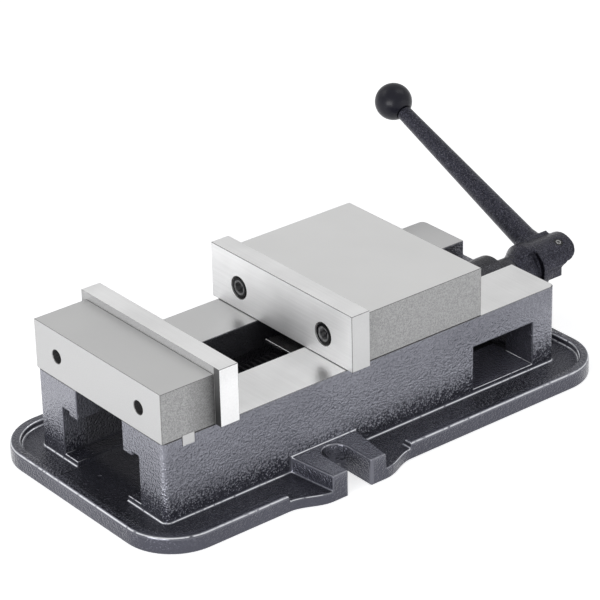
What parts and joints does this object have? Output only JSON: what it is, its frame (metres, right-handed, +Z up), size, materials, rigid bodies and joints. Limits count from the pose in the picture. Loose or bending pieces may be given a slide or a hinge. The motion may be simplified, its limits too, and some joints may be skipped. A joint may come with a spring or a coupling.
{
  "type": "machine vise",
  "caption": "Low machine vise on a fixed cast base: sliding jaw on ways, hidden lead screw, hold-down slots and a ball-ended crank handle on the screw's hexagon.",
  "frame": {"origin": "on the underside, on the long centre line, midway between the two hold-down slots", "axes": "+X along the screw towards the handle, +Y across the vise towards the side the handle's arm points to, +Z up"},
  "size_m": [0.4644, 0.3088, 0.1341],
  "materials": {
    "base_paint": "hammered paint over cast iron",
    "ground_iron": "ground top and faces",
    "ground_steel": "ground and hardened",
    "black_screws": "black oxide",
    "nut_iron": "machined, oiled",
    "screw_steel": "machined, oiled",
    "guard_steel": "bright sheet",
    "bearing_steel": "polished",
    "cage_brass": "satin",
    "housing_iron": "cast, turned end",
    "crank_iron": "cast, black",
    "knob_plastic": "satin gloss"
  },
  "bodies": {
    "base": {"base_casting": "base_paint", "fixed_jaw": "ground_iron", "fixed_jaw_keys": "ground_steel", "fixed_jaw_bolts": "black_screws", "fixed_jaw_plate": "ground_steel", "fixed_plate_screws": "black_screws", "bearing_housing": "housing_iron", "housing_screws": "black_screws", "front_thrust_washer": "bearing_steel"},
    "sliding_jaw": {"moving_jaw": "ground_iron", "moving_jaw_plate": "ground_steel", "moving_plate_screws": "black_screws", "jaw_nut": "nut_iron", "lock_half_ball": "bearing_steel", "jaw_set_screw": "black_screws", "screw_guard": "guard_steel", "guard_screws": "black_screws"},
    "screw": {"lead_screw": "screw_steel", "rear_thrust_washer": "bearing_steel", "locking_collar": "housing_iron", "collar_set_screw": "black_screws"},
    "cage": {"needle_cage": "cage_brass", "thrust_needles": "bearing_steel"},
    "crank": {"handle": "crank_iron", "ball_knob": "knob_plastic", "plunger_sleeve": "screw_steel", "plunger_spring": "bearing_steel", "plunger_plug": "bearing_steel"},
    "detent": {"plunger_ball": "bearing_steel"}
  },
  "joints": [
    {"name": "screw_turn", "type": "hinge", "parent": "base", "child": "screw", "pos_m": [0, 0, 0.0435], "axis": [1, 0, 0], "range_deg": [-7120, 1800]},
    {"name": "jaw_travel", "type": "slide", "parent": "base", "child": "sliding_jaw", "axis": [1, 0, 0], "range_m": [-0.099, 0.0252]},
    {"name": "cage_turn", "type": "hinge", "parent": "base", "child": "cage", "pos_m": [0, 0, 0.0435], "axis": [1, 0, 0], "range_deg": [-3600, 905]},
    {"name": "crank_lift_off", "type": "slide", "parent": "screw", "child": "crank", "axis": [1, 0, 0], "range_m": [0, 0.05]},
    {"name": "detent_press", "type": "slide", "parent": "crank", "child": "detent", "axis": [0, -0.3875, 0.9219], "range_m": [0, 0.0003], "stiffness_N_per_m": 500, "springref_m": -0.001}
  ],
  "couplings": [
    {"joint": "jaw_travel", "follows": "screw_turn", "m_per_rad": 0.00079577},
    {"joint": "cage_turn", "follows": "screw_turn", "ratio": 0.5}
  ]
}
